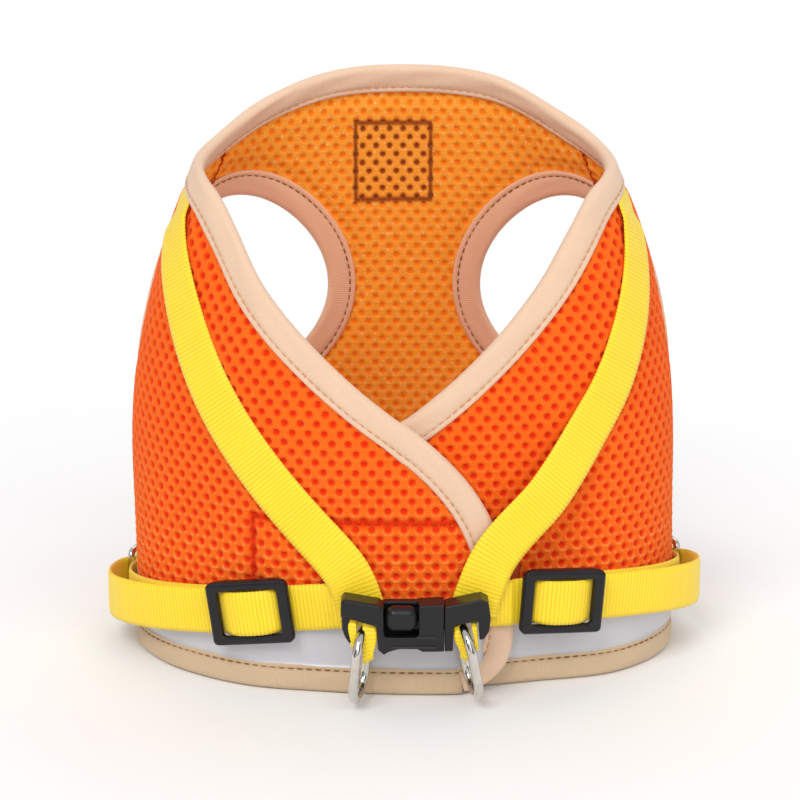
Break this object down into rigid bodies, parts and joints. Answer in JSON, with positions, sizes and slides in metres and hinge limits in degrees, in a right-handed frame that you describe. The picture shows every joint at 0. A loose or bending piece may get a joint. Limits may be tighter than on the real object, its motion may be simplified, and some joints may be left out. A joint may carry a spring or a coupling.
{
  "type": "step-in pet vest harness",
  "caption": "Step-in mesh vest harness for a small dog: crossed chest flaps with bound edges, webbing straps, sliders, side-release buckle and leash rings.",
  "frame": {"origin": "middle of the whole harness seen from above, at the height of the hem's lower edge", "axes": "+Z from the hem up to the neck, -Y out of the side with the buckle, +X to the right of the buckle"},
  "size_m": [0.1963, 0.1368, 0.1903],
  "materials": {
    "mesh": "orange air mesh with rows of oval holes, matt",
    "inner_mesh": "lighter orange mesh backed with napped lining, matt",
    "binding": "pale peach folded twill tape with a row of stitches, matt",
    "webbing": "yellow ribbed nylon webbing, soft sheen",
    "fastener": "hook-and-loop tape, matt",
    "reflective": "grey-white reflective tape, satin",
    "plastic": "black moulded acetal, fine satin",
    "nickel": "nickel-plated steel wire, polished"
  },
  "bodies": {
    "vest": {"chest_panel": "inner_mesh", "neck_binding": "binding", "hem_binding": "binding", "chest_patch": "mesh", "hook_patch": "fastener", "loop_patch": "fastener", "flap_panel_left": "mesh", "leg_binding_left": "binding", "reflective_strip_left": "reflective", "shoulder_strap_left": "webbing", "side_strap_left": "webbing", "ring_tab_left": "webbing", "buckle_loop_left": "webbing", "flap_panel_right": "mesh", "leg_binding_right": "binding", "reflective_strip_right": "reflective", "shoulder_strap_right": "webbing", "side_strap_right": "webbing", "ring_tab_right": "webbing", "buckle_socket": "plastic"},
    "plug": {"buckle_plug": "plastic", "buckle_loop_right": "webbing"},
    "arm_upper": {"release_arm_upper": "plastic"},
    "arm_lower": {"release_arm_lower": "plastic"},
    "ring_left": {"leash_ring_left": "nickel"},
    "ring_right": {"leash_ring_right": "nickel"},
    "adjuster_left": {"slider_left": "plastic"},
    "adjuster_right": {"slider_right": "plastic"},
    "strap_ring_left": {"side_ring_left": "nickel"},
    "strap_ring_right": {"side_ring_right": "nickel"}
  },
  "joints": [
    {"name": "buckle_release", "type": "slide", "parent": "vest", "child": "plug", "axis": [1, 0, 0], "range_m": [0, 0.0175], "deforming": ["release_arm_upper", "release_arm_lower"]},
    {"name": "release_upper", "type": "hinge", "parent": "plug", "child": "arm_upper", "pos_m": [0.0122, -0.05946, 0.0327], "axis": [0, -1, 0], "range_deg": [0, 6], "stiffness_Nm_per_rad": 0.02},
    {"name": "release_lower", "type": "hinge", "parent": "plug", "child": "arm_lower", "pos_m": [0.0122, -0.05946, 0.0223], "axis": [0, 1, 0], "range_deg": [0, 6], "stiffness_Nm_per_rad": 0.02},
    {"name": "leash_ring_left_swing", "type": "hinge", "parent": "vest", "child": "ring_left", "pos_m": [-0.0132, -0.05946, 0.018], "axis": [-0.9689, 0.224, 0.105], "range_deg": [0, 95]},
    {"name": "leash_ring_right_swing", "type": "hinge", "parent": "plug", "child": "ring_right", "pos_m": [0.0195, -0.05946, 0.0193], "axis": [-0.9531, -0.22, -0.208], "range_deg": [0, 95]},
    {"name": "slider_left_adjust", "type": "slide", "parent": "vest", "child": "adjuster_left", "axis": [-0.943, 0.298, -0.148], "range_m": [-0.004, 0.015], "deforming": ["side_strap_left"]},
    {"name": "slider_right_adjust", "type": "slide", "parent": "vest", "child": "adjuster_right", "axis": [0.9465, 0.3132, -0.078], "range_m": [-0.004, 0.015], "deforming": ["side_strap_right"]},
    {"name": "side_ring_left_turn", "type": "hinge", "parent": "vest", "child": "strap_ring_left", "pos_m": [-0.09147, 0.03126, 0.0155], "axis": [0, 0, 1], "range_deg": [-12, 12], "deforming": ["side_strap_left"]},
    {"name": "side_ring_right_turn", "type": "hinge", "parent": "vest", "child": "strap_ring_right", "pos_m": [0.09147, 0.03126, 0.0185], "axis": [0, 0, 1], "range_deg": [-12, 12], "deforming": ["side_strap_right"]}
  ],
  "couplings": [
    {"joint": "release_lower", "follows": "release_upper", "ratio": 1}
  ]
}
